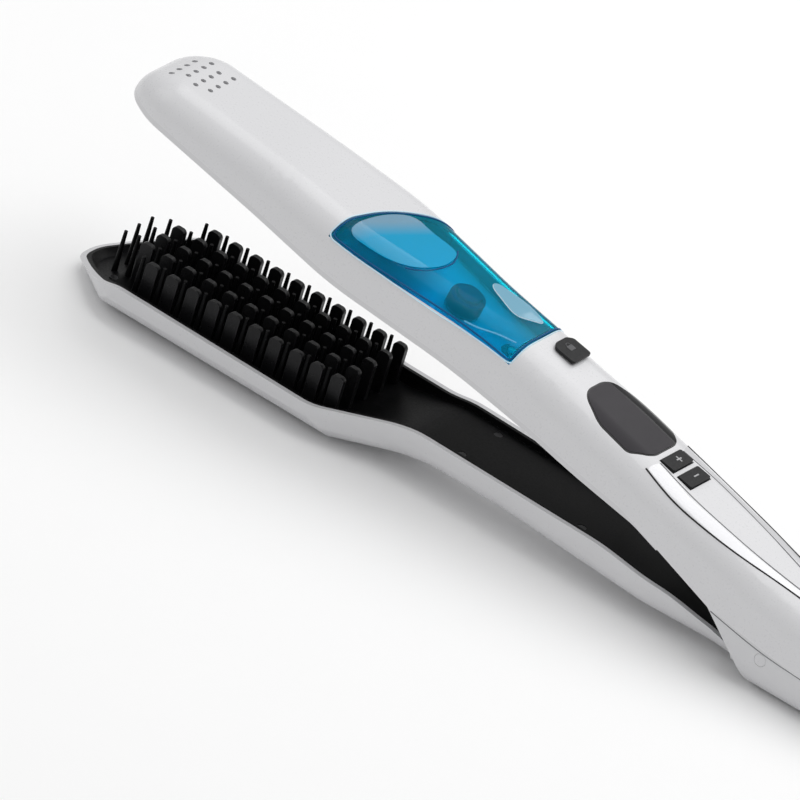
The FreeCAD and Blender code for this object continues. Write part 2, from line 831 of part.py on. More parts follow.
shell_outside = common("shell_outside", [
    upper, above("shell_over", shell_foot)])
shell_hollow = cut("shell_hollow", shell_outside, [upper_hollow])
screw_spots = (as_size(20), size("handleLength") - 18)
boss_radius, boss_bore = 3.4, 1.45
upper_bosses = common("upper_bosses", [
    upper,
    above("boss_over", seam_line),
    block("boss_rods", "XY", [(u, 0, boss_radius) for u in screw_spots], -BIG, BIG)])
shell_with_bosses = fuse("shell_with_bosses", [shell_hollow, upper_bosses])
boss_bores = block("boss_bores", "XY", [(u, 0, boss_bore) for u in screw_spots], -BIG, 14)
upper_node(cut("shell", shell_with_bosses, [bay, screen_window, lock_slot, vents, boss_bores]
               + button_windows + trim_pockets), "upper_shell")

# ---------------------------------------------------------------- underside of the upper arm
press_start, press_end, press_half = -245, -148, 13.2
flange = 1.4
plate_flange_top = frame_top + 1.2
under_line = [(-nose - 3, size("jawPlane")), (-54, size("jawPlane"), 25), (-44, 6.3)]
under_band = common("under_band", [
    upper, above("under_over", under_line), below("under_below", frame_foot)])
lip_inset = size("shellWall") + size("slipGap")
lip_level = frame_top + 1.8
lip_trim = box_corners(-nose + 12, -63, -BIG / 2, BIG / 2)
under_lip = cut("under_lip", common("lip_blank", [
    block("lip_plan", "XY", [upper_plan(lip_inset)], frame_top - 0.4, lip_level),
    block("lip_length", "XY", [lip_trim], frame_top - 0.4, lip_level)]),
    [block("lip_middle", "XY", [upper_plan(lip_inset + 1.2)], frame_top - 1, lip_level + 1)])
board_low = size("boardLevel") - 1.5
post_spots = [(u, v) for u in (-93, -67) for v in (-8.5, 8.5)]
board_posts = block("board_posts", "XY", [(u, v, 1.8) for u, v in post_spots], frame_top - 0.4, board_low)
press_window = block("press_window", "XY",
                     [box_corners(press_start, press_end, -press_half, press_half, 4)], 0, 20)
upper_node(cut("underside", fuse("underside_parts", [under_band, under_lip, board_posts]), [press_window]),
           "arm_underside")

press_plate = new_body("press_plate")
slip = size("slipGap")
pad(press_plate, "XY", [box_corners(press_start + slip, press_end - slip,
                                    -press_half + slip, press_half - slip, 3.8)],
    size("jawPlane") - 0.4, frame_top)
pad(press_plate, "XY", [box_corners(press_start - flange, press_end + flange,
                                    -press_half - flange, press_half + flange, 5)],
    frame_top, plate_flange_top)
port_hole = pocket(press_plate, "XY", [(press_start + 10, -9.8, 1.1)], 0, plate_flange_top)
pattern(press_plate, [port_hole], [("X_Axis", 80, 9), ("Y_Axis", 19.6, 2)])
upper_node(press_plate, "press_plate")

upper_node(block("press_heater_bar", "XY", [box_corners(press_start + 6, press_end - 12, -6.5, 6.5, 1)],
                 plate_flange_top, plate_flange_top + 2.2), "press_heater")

# ---------------------------------------------------------------- steam and water path
rail_top = plate_flange_top + 3.2
pipe_level = plate_flange_top + 1.6
nipple_radius = 1.0
rail_outline = [
    (press_start + 4, -11.9), (press_end - 4, -11.9), (press_end - 4, 11.9), (press_start + 4, 11.9),
    (press_start + 4, 7.7), (press_end - 8, 7.7), (press_end - 8, -7.7), (press_start + 4, -7.7),
]
rail_channel = [
    (press_start + 5.2, -10.8), (press_end - 5, -10.8), (press_end - 5, 10.8), (press_start + 5.2, 10.8),
    (press_start + 5.2, 8.8), (press_end - 7, 8.8), (press_end - 7, -8.8), (press_start + 5.2, -8.8),
]
steam_rail = new_body("steam_rail")
pad(steam_rail, "XY", [rail_outline], plate_flange_top, rail_top)
pocket(steam_rail, "XY", [rail_channel], plate_flange_top, rail_top - 1.0)
pad(steam_rail, "YZ", [(0, pipe_level, nipple_radius)], press_end - 4.5, press_end + 1)
pocket(steam_rail, "YZ", [(0, pipe_level, 0.5)], press_end - 6, press_end + 1)
upper_node(steam_rail, "steam_rail")

valve_front, valve_rear = -124, -112
steam_pipe = new_body("steam_pipe")
pad(steam_pipe, "YZ", [(0, pipe_level, 1.5), (0, pipe_level, nipple_radius)], press_end - 3.9, valve_front)
upper_node(steam_pipe, "steam_pipe")

seat_low, seat_top = size("tankFloor") - 1.3, size("tankFloor") - size("slipGap")
water_valve = new_body("water_valve")
pad(water_valve, "XY", [box_corners(valve_front, valve_rear, -5, 5, 1)], frame_top, seat_low)
pad(water_valve, "YZ", [(0, pipe_level, nipple_radius)], valve_front - 3, valve_front + 1)
pad(water_valve, "XY", [(*outlet_at, 1.5)], seat_low - 0.5, size("tankFloor") + 0.8)
upper_node(water_valve, "water_valve")

seal_radius = 3.4
seal = new_body("outlet_seal")
pad(seal, "XY", [(*outlet_at, seal_radius), (*outlet_at, 1.5)], seat_low, seat_top)
upper_node(seal, "outlet_seal")
seat_length = box_corners(-size("tankFront") - 6, -size("tankRear") + 3, -BIG / 2, BIG / 2)
seat_blank = common("seat_blank", [
    block("seat_plan", "XY", [upper_plan(lip_inset)], seat_low, seat_top),
    block("seat_length", "XY", [seat_length], seat_low, seat_top)])
seal_pocket = block("seal_pocket", "XY", [(*outlet_at, seal_radius)], 0, 30)
upper_node(cut("seat", seat_blank, [seal_pocket]), "tank_seat")

# ---------------------------------------------------------------- controls
board_outline = box_corners(-98, -44, -11, 11, 1)
upper_node(block("board", "XY", [board_outline], board_low, size("boardLevel")), "control_board")
upper_node(block("display", "XY", [box_corners(-88, -64.4, -8.2, 8.2, 1)],
                 size("boardLevel"), size("crestScreen") - 2.55),
           "display_module")
button_spots = (as_size(plus_at), minus_at)
switches = [
    block("switch_cases", "XY", [box_corners(u - 3, u + 3, -3, 3) for u in button_spots],
          size("boardLevel"), size("boardLevel") + 2.2),
    block("switch_stems", "XY", [(u, 0, 1.6) for u in button_spots],
          size("boardLevel") + 2.2, size("boardLevel") + 3.2),
]
upper_node(fuse("switches", switches), "button_switches")


def button(label, u):
    """Push button: cap through the shell, retaining flange under it."""
    cap = new_body(label)
    slope = (size("crestHinge") - size("crestScreen")) / (hinge_at - screen_at)
    top = size("crestScreen") + slope * (u - screen_at) + size("buttonProud")
    long, wide = size("buttonLength") / 2, size("buttonWidth") / 2
    pad(cap, "XY", [box_corners(u - long, u + long, -wide, wide, 0.6)], size("boardLevel") + 4.0, top)
    pad(cap, "XY", [box_corners(u - long - 0.6, u + long + 0.6, -wide - 0.9, wide + 0.9, 0.6)],
        size("boardLevel") + 4.8, size("boardLevel") + 5.8)
    upper_node(cap, label)


button("plus_button", button_spots[0])
button("minus_button", button_spots[1])

lock = new_body("tank_lock")
lock_low = size("crestLock") - 0.3
lock_u, lock_v = lock_at
lock_outline = [
    (lock_u - 4, lock_v - 2.6, 2.0), (lock_u - 2.4, lock_v - 4.7, 1.5), (lock_u + 4.7, lock_v - 4.7, 1.0),
    (lock_u + 4.7, lock_v + 4.7, 1.0), (lock_u - 2.4, lock_v + 4.7, 1.5), (lock_u - 4, lock_v + 2.6, 2.0),
]
pad(lock, "XY", [lock_outline], lock_low, lock_low + 1.1)
pad(lock, "XY", [box_corners(lock_u - 1.5, lock_u + 1.5, lock_v - 1.5, lock_v + 1.5)], lock_low - 3.2, lock_low)
pad(lock, "XY", [box_corners(lock_u - 4.5, lock_u + 2, lock_v - 3.5, lock_v + 3.5)],
    lock_low - 4.4, lock_low - 3.0)
upper_node(lock, "tank_lock")

# ---------------------------------------------------------------- lower handle shell


def floor_at(u):
    """Height of the table under the leaning handle."""
    return as_size(u) * lean - size("pivotHeight") / upright


def handle_form(name, inset):
    """Handle form below the seam; the front stays open to the lower arm's tail."""
    lift = inset / upright
    keel = [(40, floor_at(40) + lift, 60), (rear + inset, 1.2 + lift), (rear + inset, BIG)]
    if inset.value:
        side = [(-40, BIG), (-40, floor_at(-40) + lift)] + keel
    else:
        side = [(seam_front[0], BIG), seam_front, (-5.5, -7, 20), (-1.2, floor_at(-1.2))] + keel
    form = common(name + "_form", [
        block(name + "_plan", "XY", [upper_plan(inset)], -BIG, BIG),
        block(name + "_side", "XZ", [side], -BIG, BIG)])

    def keel_edge(middle):
        return middle.z < floor_at(middle.x).value + inset.value + 3 and -1 < middle.x < rear.value - 0.5
    return round_edges(name, form, size("handleRound") - inset, keel_edge)


handle = handle_form("handle", as_size(0))
handle_hollow = handle_form("handle_hollow", size("shellWall"))
handle_under = below("handle_under", seam_line)
cheek_side = [(-6.4, 6.0, 4), (6.4, 6.0, 4.5), (9, -10.0), (-1.0, -11.0)]
cheeks = [
    common(f"cheek_{name}", [handle, block(f"cheek_blank_{name}", "XZ", [cheek_side], low, high)])
    for name, low, high in (
        ("left", size("knuckleHalf") + size("runGap"), size("cheekHalf")),
        ("right", -size("cheekHalf"), -size("knuckleHalf") - size("runGap")),
    )
]
lower_bosses = common("lower_bosses", [
    handle, handle_under, block("lower_rods", "XY", [(u, 0, boss_radius) for u in screw_spots], -BIG, BIG)])
pin_hole = block("pin_hole", "XZ", [(0, 0, size("pinRadius") + 0.02)], -BIG, BIG)
head_radius, head_depth = 2.7, 2.4
screw_shafts = block("screw_shafts", "XY", [(u, 0, boss_bore + 0.15) for u in screw_spots], -BIG, BIG)
screw_heads = [
    block(f"screw_head_hole{number}", "XY", [(u, 0, head_radius + 0.2)], -BIG, floor_at(u) + head_depth)
    for number, u in enumerate(screw_spots)
]
handle_shell = cut("handle_shell", common("handle_outside", [handle, handle_under]), [handle_hollow])
handle_parts = fuse("handle_parts", [handle_shell, lower_bosses] + cheeks)
upper_node(cut("handle_lower", handle_parts, [pin_hole, screw_shafts] + screw_heads), "handle_lower_shell")

screws = []
for number, u in enumerate(screw_spots):
    screw = new_body(f"shell_screw{number}")
    seat = floor_at(u) + head_depth
    pad(screw, "XY", [(u, 0, boss_bore - 0.05)], seat, 13.0)
    pad(screw, "XY", [(u, 0, head_radius)], seat - 1.6, seat)
    screws.append(screw)
shell_screws = doc.addObject("Part::Compound", "shell_screws")
shell_screws.Links = screws
upper_node(shell_screws, "shell_screws")

# ---------------------------------------------------------------- end cap and cord gland
end_form = fuse("end_form", [
    common("end_upper", [upper, above("end_over", [(30, 6.0), (rear, 8.0)])]),
    common("end_lower", [handle, below("end_under", [(30, 6.0), (rear, 8.0)])])])
end_slab = block("end_slab", "YZ", [box_corners(-BIG / 2, BIG / 2, -BIG / 2, BIG / 2)],
                 size("handleLength"), rear)
gland_level = 10.2
gland_radius = size("glandBore") + 2.0
gland_hole = block("gland_hole", "YZ", [(0, gland_level, gland_radius + 0.05)], 0, BIG * 2)
upper_node(cut("cap", common("cap_blank", [end_form, end_slab]), [gland_hole]), "end_cap")

gland = new_body("cord_gland")
inside = size("handleLength") - 3
pad(gland, "YZ", [(0, gland_level, gland_radius + 1.6)], inside, size("handleLength"))
pad(gland, "YZ", [(0, gland_level, gland_radius)], size("handleLength") - 0.5, rear + size("glandReach"))
pocket(gland, "YZ", [(0, gland_level, size("glandBore"))], inside - 1, rear + size("glandReach"))
upper_node(gland, "cord_gland")

# ---------------------------------------------------------------- hinge
pin_body = new_body("hinge_pin")
pad(pin_body, "XZ", [(0, 0, size("pinRadius"))], -size("cheekHalf"), size("cheekHalf"))
upper_node(pin_body, "hinge_pin")

bushes = []
for name, low, high in (("left", size("springSlot"), size("knuckleHalf")),
                        ("right", -size("knuckleHalf"), -size("springSlot"))):
    bush = new_body("bush_" + name)
    pad(bush, "XZ", [(0, 0, bush_radius), (0, 0, size("pinRadius") + size("pinGap"))], low, high)
    bushes.append(bush)
hinge_bushes = doc.addObject("Part::Compound", "hinge_bushes")
hinge_bushes.Links = bushes
lower_node(hinge_bushes, "hinge_bushes")

wire_radius, coil_radius, coil_turns = 0.6, 3.1, 5
coil_pitch = (size("springSlot") * 2 - 2) / coil_turns
coil = doc.addObject("Part::Helix", "spring_line")
coil.Radius = coil_radius
bind(coil, "Pitch", coil_pitch)
bind(coil, "Height", coil_pitch * coil_turns)
coil_start = coil_pitch * coil_turns / 2
coil.Placement = FreeCAD.Placement(FreeCAD.Vector(0, coil_start.value, 0), PLANES["XZ"])
coil.setExpression(".Placement.Base.y", coil_start.formula)
wire_end = loose_sketch("spring_wire", "XY", 0, [(coil_radius, 0, wire_radius)])
wire_end.Placement = FreeCAD.Placement(FreeCAD.Vector(0, coil_start.value, 0), FreeCAD.Rotation())
wire_end.setExpression(".Placement.Base.y", coil_start.formula)
spring = doc.addObject("Part::Sweep", "spring_coil")
spring.Sections = [wire_end]
spring.Spine = (coil, ["Edge1"])
spring.Frenet = True
spring.Solid = True
upper_node(spring, "jaw_spring")

# ---------------------------------------------------------------- check and write the parts
doc.recompute()
for item in doc.Objects:
    if "Invalid" in item.State or "Error" in item.State:
        raise RuntimeError(f"{item.Name} failed: {item.State}")
for node in nodes:
    if node.Shape.isNull() or not node.Shape.isValid():
        raise RuntimeError(f"{node.Label} has no valid shape")
os.makedirs("parts", exist_ok=True)
for node in nodes:
    node.Shape.exportStep(f"parts/{node.Label}.step")
print(f"{len(nodes)} parts written")
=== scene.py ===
import json
import math

import bpy
from mathutils import Matrix, Vector

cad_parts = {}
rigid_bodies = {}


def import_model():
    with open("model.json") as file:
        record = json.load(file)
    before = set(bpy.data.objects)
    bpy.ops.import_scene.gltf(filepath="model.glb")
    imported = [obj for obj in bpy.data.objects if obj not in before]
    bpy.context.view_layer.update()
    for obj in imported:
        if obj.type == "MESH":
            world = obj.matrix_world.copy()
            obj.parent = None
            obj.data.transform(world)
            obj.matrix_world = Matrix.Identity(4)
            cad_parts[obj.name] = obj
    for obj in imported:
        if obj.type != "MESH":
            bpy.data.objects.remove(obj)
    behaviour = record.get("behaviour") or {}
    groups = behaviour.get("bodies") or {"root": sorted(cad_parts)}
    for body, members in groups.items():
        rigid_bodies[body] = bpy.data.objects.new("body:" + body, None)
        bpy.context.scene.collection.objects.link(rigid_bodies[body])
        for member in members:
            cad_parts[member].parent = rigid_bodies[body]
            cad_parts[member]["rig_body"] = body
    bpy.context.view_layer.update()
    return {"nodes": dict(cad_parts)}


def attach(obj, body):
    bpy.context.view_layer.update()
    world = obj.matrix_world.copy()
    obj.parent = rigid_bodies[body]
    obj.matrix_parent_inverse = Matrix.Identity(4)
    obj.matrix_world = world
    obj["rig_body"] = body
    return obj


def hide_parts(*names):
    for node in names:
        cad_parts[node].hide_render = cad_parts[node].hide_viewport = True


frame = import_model()
nodes = frame["nodes"]

# ---------------------------------------------------------------- places on the brush
MM = 0.001
PIVOT = Vector((0.09045, 0, 0.012))      # the jaw's pivot
OPEN = math.radians(10.6)                # lean of the upper arm and the handle
ALONG = Vector((math.cos(OPEN), 0, -math.sin(OPEN)))
OUTWARD = Vector((math.sin(OPEN), 0, math.cos(OPEN)))
CLEAR = 60                               # outside the brush above and on both sides, in mm
SIDES = (("left", 1), ("right", -1))     # the brush's sides, and the way each faces along Y


def upper(u, v, w):
    """A place on the upper arm or handle: along, across and outward from the pivot, in mm."""
    return PIVOT + (ALONG * u + Vector((0, v, 0)) + OUTWARD * w) * MM


# ---------------------------------------------------------------- finishes
NOISE_LOW, NOISE_HIGH = 0.3, 0.7         # most of a noise texture lies between these
EDGE_WEAR_AND_HIGHLIGHT_WIDTH = 0.4                         # how far the lightened edges reach from an edge, wear and painted highlight together, in mm


def noise(tree, place, scale, detail=2.0, stretch=None):
    cloud = tree.nodes.new("ShaderNodeTexNoise")
    cloud.inputs["Scale"].default_value = scale
    cloud.inputs["Detail"].default_value = detail
    if stretch:
        mapping = tree.nodes.new("ShaderNodeMapping")
        mapping.inputs["Rotation"].default_value = (0, OPEN, 0)
        mapping.inputs["Scale"].default_value = stretch
        tree.links.new(place, mapping.inputs["Vector"])
        place = mapping.outputs["Vector"]
    tree.links.new(place, cloud.inputs["Vector"])
    return cloud.outputs["Fac"]


def between(tree, value, low, high, out_low, out_high):
    """Carry a value over from one range to another, and hold it at the range's ends."""
    ramp = tree.nodes.new("ShaderNodeMapRange")
    numbers = {"From Min": low, "From Max": high, "To Min": out_low, "To Max": out_high}
    for socket, number in numbers.items():
        ramp.inputs[socket].default_value = number
    tree.links.new(value, ramp.inputs["Value"])
    return ramp.outputs["Result"]


def blend_colours(tree, amount, first, second):
    """Mix two colours, each a triple or a socket."""
    mixer = tree.nodes.new("ShaderNodeMix")
    mixer.data_type = "RGBA"
    tree.links.new(amount, mixer.inputs["Factor"])
    for socket, colour in ((mixer.inputs[6], first), (mixer.inputs[7], second)):
        if isinstance(colour, tuple):
            socket.default_value = (*colour, 1)
        else:
            tree.links.new(colour, socket)
    return mixer.outputs[2]


def finish(name, colour, rough, *, shade=0.93, grain=900, bump=0.08, relief=0.02, wear_and_highlight=None, metallic=0.0,
           coat=0.0, stretch=None, **settings):
    """A moulded or machined finish: tone and roughness drift, fine grain, and edges lightened a little,
    partly as wear and partly as a painted highlight.
    """
    material = bpy.data.materials.new(name)
    material.use_nodes = True
    tree = material.node_tree
    shader = tree.nodes["Principled BSDF"]
    shader.inputs["Metallic"].default_value = metallic
    shader.inputs["Coat Weight"].default_value = coat
    shader.inputs["Coat Roughness"].default_value = 0.12
    for socket, value in settings.items():
        shader.inputs[socket.replace("_", " ")].default_value = value
    place = tree.nodes.new("ShaderNodeTexCoord").outputs["Object"]
    drift = noise(tree, place, 38, 3.0)
    fine = noise(tree, place, grain, 2.0, stretch)
    shaded = tuple(part * shade for part in colour)
    tone = blend_colours(tree, between(tree, drift, NOISE_LOW, NOISE_HIGH, 0, 1), shaded, colour)
    # edges blended towards a lighter colour: part wear, part painted highlight along the rounded edges
    if wear_and_highlight:
        soft = tree.nodes.new("ShaderNodeBevel")
        soft.samples = 4
        soft.inputs["Radius"].default_value = EDGE_WEAR_AND_HIGHLIGHT_WIDTH * MM
        facing = tree.nodes.new("ShaderNodeNewGeometry")
        turn = tree.nodes.new("ShaderNodeVectorMath")
        turn.operation = "DOT_PRODUCT"
        tree.links.new(soft.outputs["Normal"], turn.inputs[0])
        tree.links.new(facing.outputs["Normal"], turn.inputs[1])
        edge = between(tree, turn.outputs["Value"], 0.97, 0.75, 0, 0.6)
        tone = blend_colours(tree, edge, tone, wear_and_highlight)
    tree.links.new(tone, shader.inputs["Base Color"])
    roughness = between(tree, fine, NOISE_LOW, NOISE_HIGH, rough * 0.85, rough * 1.2)
    tree.links.new(roughness, shader.inputs["Roughness"])
    dents = tree.nodes.new("ShaderNodeBump")
    dents.inputs["Strength"].default_value = bump
    dents.inputs["Distance"].default_value = relief * MM
    tree.links.new(fine, dents.inputs["Height"])
    tree.links.new(dents.outputs["Normal"], shader.inputs["Normal"])
    return material


def clear_plastic(name, colour, deep, *, slant=None, start=0.0135, end=0.0175, through=0.7, **settings):
    """See-through moulded plastic whose colour deepens from start to end, in metres.

    They are measured along the slant, or from the brush's middle towards both its sides.
    """
    material = finish(name, colour, rough=0.04, shade=0.92, grain=60, bump=0.05, relief=0.2,
                      Transmission_Weight=through, **settings)
    tree = material.node_tree
    shader = tree.nodes["Principled BSDF"]
    measure = tree.nodes.new("ShaderNodeVectorMath")
    measure.operation = "DOT_PRODUCT"
    measure.inputs[1].default_value = slant or (0, 1, 0)
    tree.links.new(tree.nodes.new("ShaderNodeTexCoord").outputs["Object"], measure.inputs[0])
    distance = measure.outputs["Value"]
    if not slant:
        both_sides = tree.nodes.new("ShaderNodeMath")
        both_sides.operation = "ABSOLUTE"
        tree.links.new(distance, both_sides.inputs[0])
        distance = both_sides.outputs["Value"]
    amount = between(tree, distance, start, end, 0, 1)
    tone = shader.inputs["Base Color"].links[0].from_socket
    tree.links.new(blend_colours(tree, amount, tone, deep), shader.inputs["Base Color"])
    return material


def circuit(name):
    """Green lacquered board with pale copper tracks."""
    material = finish(name, (0.02, 0.16, 0.06), 0.35, grain=1500, coat=0.3)
    tree = material.node_tree
    shader = tree.nodes["Principled BSDF"]
    place = tree.nodes.new("ShaderNodeTexCoord").outputs["Object"]
    tracks = tree.nodes.new("ShaderNodeTexBrick")
    tracks.inputs["Scale"].default_value = 260
    tracks.inputs["Mortar Size"].default_value = 0.06
    tracks.inputs["Color1"].default_value = (0, 0, 0, 1)
    tracks.inputs["Color2"].default_value = (0.12, 0.12, 0.12, 1)
    tracks.inputs["Mortar"].default_value = (1, 1, 1, 1)
    tree.links.new(place, tracks.inputs["Vector"])
    tone = shader.inputs["Base Color"].links[0].from_socket
    tree.links.new(blend_colours(tree, tracks.outputs["Color"], tone, (0.1, 0.42, 0.16)),
                   shader.inputs["Base Color"])
    return material


pearl = finish("pearl_white", (0.7, 0.7, 0.715), 0.3, shade=0.985, grain=1400, bump=0.03,
               wear_and_highlight=(0.8, 0.8, 0.81), coat=0.25)
# a darker copy of pearl_white for the lower shells, the end cap and the pin caps: painted shade
pearl_shaded = finish("pearl_white_shaded", (0.66, 0.66, 0.675), 0.32, shade=0.98, grain=1400, bump=0.03,
                     wear_and_highlight=(0.78, 0.78, 0.79), coat=0.2)
satin_black = finish("satin_black", (0.0045, 0.0045, 0.005), 0.4, shade=0.7, grain=1800, bump=0.16,
                     wear_and_highlight=(0.025, 0.025, 0.027), Specular_IOR_Level=0.08)
coated_fin = finish("coated_fin", (0.009, 0.009, 0.01), 0.32, shade=0.7, grain=1500, bump=0.14,
                    wear_and_highlight=(0.05, 0.05, 0.053), metallic=0.25, Specular_IOR_Level=0.3)
coated_plate = finish("coated_plate", (0.05, 0.05, 0.055), 0.24, grain=700, bump=0.12,
                      wear_and_highlight=(0.2, 0.2, 0.21), metallic=0.7, stretch=(0.15, 2.0, 2.0))
# deeper blue towards the near side only: painted shade on the side turned away from the lamps
tank_clear = clear_plastic("tank_blue", (0.0, 0.83, 1.0), (0.0, 0.74, 1.0), slant=(0, -1, 0),
                           start=-0.004, end=0.017, through=0.92, coat=0.15, IOR=1.06)
window_clear = clear_plastic("tank_window_clear", (0.3, 0.54, 0.72), (0.0, 0.5, 0.84),
                             slant=(0.9, -0.43, 0), start=-0.0625, end=-0.0565, through=0.4,
                             Specular_IOR_Level=0.2)
label_clear = clear_plastic("tank_label_clear", (0.24, 0.53, 0.7), (0.18, 0.46, 0.66), through=0.2)
line_blue = finish("tank_line_blue", (0.08, 0.45, 0.74), 0.25, coat=0.3)
# dark blue for lines along the tank's edges: painted shade where the clear edges refract
rim_painted_shade = finish("tank_rim_painted_shade", (0.0, 0.09, 0.24), 0.35, Specular_IOR_Level=0.2)
# pale blue for lines round the label and on the shell round the tank: painted highlight
rim_painted_highlight = finish("tank_rim_painted_highlight", (0.62, 0.84, 0.95), 0.25, coat=0.3)
plug_rubber = finish("plug_rubber", (0.03, 0.012, 0.1), 0.6, grain=1200, bump=0.25, Specular_IOR_Level=0.1)
lens_black = finish("lens_black", (0.006, 0.006, 0.007), 0.12, grain=500, bump=0.02, Specular_IOR_Level=0.3)
# the screen's own grey with the glossy lens's dull grey reflection painted in
screen_grey_and_reflection = finish("screen_grey_and_reflection", (0.042, 0.039, 0.044), 0.16, shade=0.85, grain=400, bump=0.02,
                     Specular_IOR_Level=0.1)
button_black = finish("button_black", (0.011, 0.011, 0.012), 0.42, grain=1600, bump=0.2,
                      wear_and_highlight=(0.05, 0.05, 0.05), Specular_IOR_Level=0.25)
sign_light = finish("sign_light", (0.42, 0.42, 0.43), 0.4)
sign_faint = finish("sign_faint", (0.07, 0.07, 0.074), 0.4)
trim_silver = finish("trim_silver", (0.74, 0.74, 0.76), 0.2, shade=0.96, grain=900, bump=0.04,
                     metallic=0.25, coat=0.4, stretch=(0.1, 2.0, 2.0))
# black for the gaps beside the trims: painted shadow
gap_shadow_black = finish("gap_shadow_black", (0.01, 0.01, 0.011), 0.5, Specular_IOR_Level=0.3)
line_grey = finish("line_grey", (0.2, 0.2, 0.21), 0.4)
black_rubber = finish("black_rubber", (0.02, 0.02, 0.021), 0.7, grain=1100, bump=0.3, relief=0.04)
seal_rubber = finish("seal_rubber", (0.03, 0.03, 0.03), 0.75, grain=1300, bump=0.3)
silicone = finish("silicone", (0.62, 0.6, 0.55), 0.5, grain=500, bump=0.1, Transmission_Weight=0.2)
screw_steel = finish("screw_steel", (0.5, 0.5, 0.51), 0.28, grain=1600, metallic=1.0, wear_and_highlight=(0.75, 0.75, 0.76))
screw_black = finish("screw_black", (0.03, 0.03, 0.032), 0.35, grain=1600, metallic=0.8,
                     wear_and_highlight=(0.2, 0.2, 0.2))
pin_steel = finish("pin_steel", (0.6, 0.6, 0.61), 0.2, grain=1200, metallic=1.0, stretch=(3.0, 0.2, 3.0))
bush_brass = finish("bush_brass", (0.72, 0.55, 0.22), 0.3, grain=1300, metallic=1.0, wear_and_highlight=(0.85, 0.7, 0.4))
spring_steel = finish("spring_steel", (0.32, 0.32, 0.33), 0.32, grain=1500, metallic=1.0)
ceramic = finish("heater_ceramic", (0.8, 0.78, 0.72), 0.6, shade=0.88, grain=1800, bump=0.3)
mica = finish("mica_sheet", (0.55, 0.44, 0.26), 0.4, shade=0.6, grain=260, bump=0.2)
rail_plastic = finish("rail_plastic", (0.2, 0.17, 0.13), 0.55, grain=1500, bump=0.3)
valve_plastic = finish("valve_plastic", (0.72, 0.72, 0.69), 0.45, grain=1300)
seat_plastic = finish("seat_plastic", (0.88, 0.9, 0.91), 0.45, grain=1300)
board_green = circuit("board_green")
module_black = finish("module_black", (0.02, 0.02, 0.022), 0.45, grain=1500, bump=0.2)

# finish and edge rounding, in mm, of each piece that keeps its solid's shape
DRESSED = {
    "lower_casing": (pearl_shaded, 0.0), "comb_panel": (satin_black, 0.0), "panel_screws": (screw_black, 0.1),
    "comb_fins": (coated_fin, 0.22), "comb_heater": (ceramic, 0.2), "heater_insulator": (mica, 0.0),
    "water_tank": (tank_clear, 0.0), "tank_plug": (plug_rubber, 0.5), "display_lens": (lens_black, 0.0),
    "left_trim": (trim_silver, 0.0), "right_trim": (trim_silver, 0.0), "upper_shell": (pearl, 0.0),
    "arm_underside": (pearl_shaded, 0.0), "press_plate": (coated_plate, 0.2), "press_heater": (ceramic, 0.2),
    "steam_rail": (rail_plastic, 0.15), "steam_pipe": (silicone, 0.0), "water_valve": (valve_plastic, 0.2),
    "outlet_seal": (seal_rubber, 0.3), "tank_seat": (seat_plastic, 0.0), "control_board": (board_green, 0.1),
    "display_module": (module_black, 0.3), "button_switches": (module_black, 0.15),
    "plus_button": (button_black, 0.35), "minus_button": (button_black, 0.35),
    "tank_lock": (button_black, 0.35), "handle_lower_shell": (pearl_shaded, 0.0),
    "shell_screws": (screw_steel, 0.15), "end_cap": (pearl_shaded, 0.0), "cord_gland": (black_rubber, 0.5),
    "hinge_pin": (pin_steel, 0.2), "hinge_bushes": (bush_brass, 0.1), "jaw_spring": (spring_steel, 0.0),
}

# ---------------------------------------------------------------- working on a piece
WELD = 2e-6                              # corners of a solid's faces this near are one, in metres
FLAT = math.radians(0.3)                 # faces that meet flatter than this become one
SHARP = math.radians(40)                 # edges that turn more than this are rounded


def take(piece):
    """Make the piece the only one selected and the active one."""
    bpy.ops.object.select_all(action="DESELECT")
    piece.select_set(True)
    bpy.context.view_layer.objects.active = piece


def edit(piece):
    """Start shaping the piece, with all of its mesh selected."""
    take(piece)
    bpy.ops.object.mode_set(mode="EDIT")
    bpy.ops.mesh.select_all(action="SELECT")


def done():
    bpy.ops.object.mode_set(mode="OBJECT")


def fix_place():
    """Bring the selected piece's place, turn and size into its mesh."""
    bpy.ops.object.transform_apply(location=True, rotation=True, scale=True)


def modify(piece, kind, **settings):
    """Add a modifier, set it and apply it."""
    take(piece)
    change = piece.modifiers.new(kind.lower(), kind)
    for name, value in settings.items():
        setattr(change, name, value)
    bpy.ops.object.modifier_apply(modifier=change.name)


def smooth(piece, degrees=35):
    take(piece)
    bpy.ops.object.shade_smooth_by_angle(angle=math.radians(degrees))
    modify(piece, "WEIGHTED_NORMAL", keep_sharp=True)


def settle(piece, name, material, body):
    """Name a finished piece, paint it and let it ride on its body, with its place in its mesh."""
    take(piece)
    fix_place()
    piece.name = name
    piece.data.materials.clear()
    piece.data.materials.append(material)
    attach(piece, body)
    return piece


def dress(node, material, edge):
    """A merged copy of a solid with rounded edges and even shading, in place of the solid."""
    solid = nodes[node]
    name = node + "_dressed"
    piece = bpy.data.objects.new(name, solid.data.copy())
    bpy.context.scene.collection.objects.link(piece)
    edit(piece)
    bpy.ops.mesh.customdata_custom_splitnormals_clear()
    bpy.ops.mesh.remove_doubles(threshold=WELD)
    if edge:
        bpy.ops.mesh.dissolve_limited(angle_limit=FLAT)
    done()
    if edge:
        modify(piece, "BEVEL", width=edge * MM, segments=2, limit_method="ANGLE", angle_limit=SHARP)
    smooth(piece)
    settle(piece, name, material, solid["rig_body"])
    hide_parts(node)
    return piece


dressed = {node: dress(node, *look) for node, look in DRESSED.items()}
bpy.context.view_layer.update()

